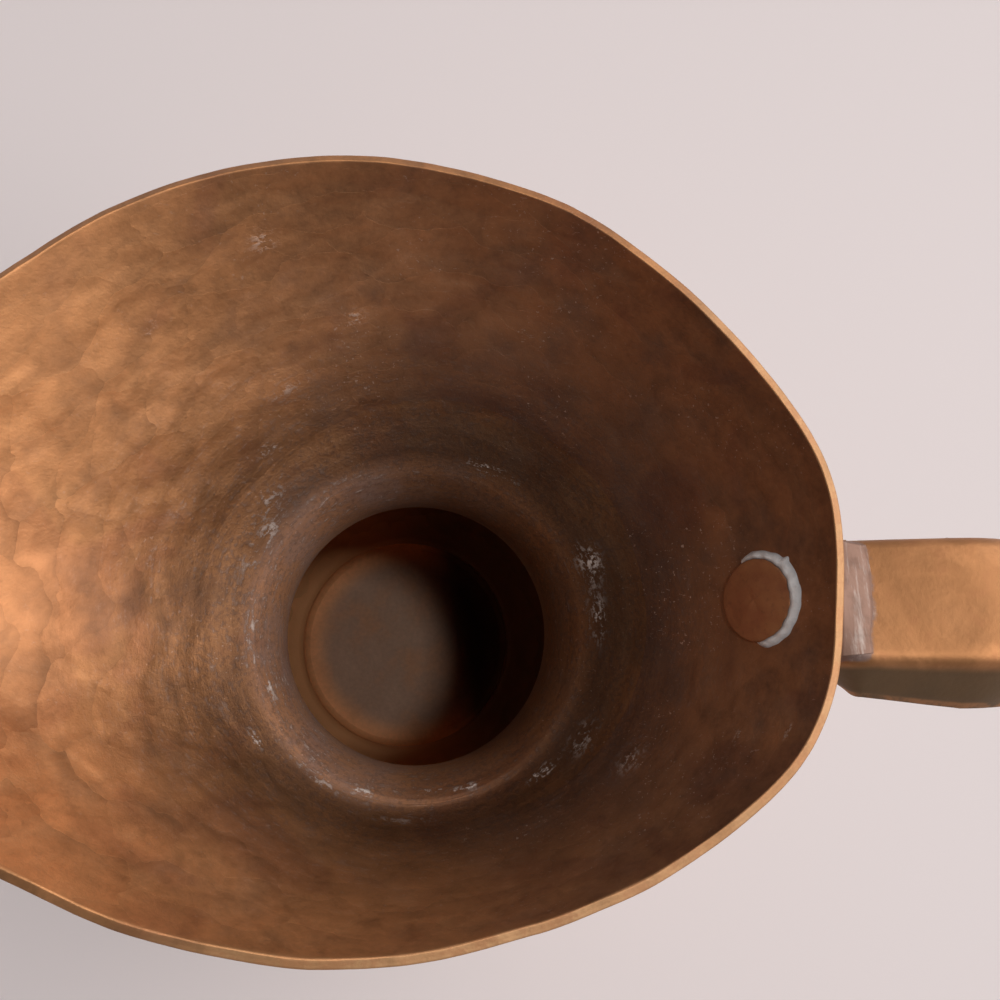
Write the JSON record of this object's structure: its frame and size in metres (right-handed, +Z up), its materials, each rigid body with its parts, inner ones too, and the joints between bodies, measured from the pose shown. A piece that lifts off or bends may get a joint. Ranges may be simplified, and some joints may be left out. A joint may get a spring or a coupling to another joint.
{
  "type": "pouring jug",
  "caption": "Hammered copper jug: round belly, narrow neck, wide funnel mouth drawn into a pouring lip, and a riveted channel strap handle.",
  "frame": {"origin": "on the jug's axis at the underside of its base", "axes": "+Z up through the neck, +X towards the handle, -X towards the pouring lip, millimetres in the source and metres in the row"},
  "size_m": [0.2043, 0.1348, 0.2263],
  "materials": {
    "body_copper": "hammered copper with a brown patina, satin",
    "handle_copper": "rubbed copper, satin",
    "rivet_copper": "reddish brown copper, flattened by hammering",
    "tinned_copper": "copper with a dull grey tin wash",
    "tin_solder": "dull silver-white tin solder, scraped"
  },
  "bodies": {
    "root": {"base_pan": "tinned_copper", "base_solder": "tin_solder", "belly": "body_copper", "throat_solder": "tin_solder", "collar_solder": "tin_solder", "mouth_funnel": "body_copper", "handle": "handle_copper", "handle_root_solder": "tin_solder", "upper_rivet": "rivet_copper", "upper_rivet_tin": "tin_solder", "lower_rivet_top": "rivet_copper", "lower_rivet_top_tin": "tin_solder", "lower_rivet_bottom": "rivet_copper", "lower_rivet_bottom_tin": "tin_solder"}
  },
  "joints": []
}
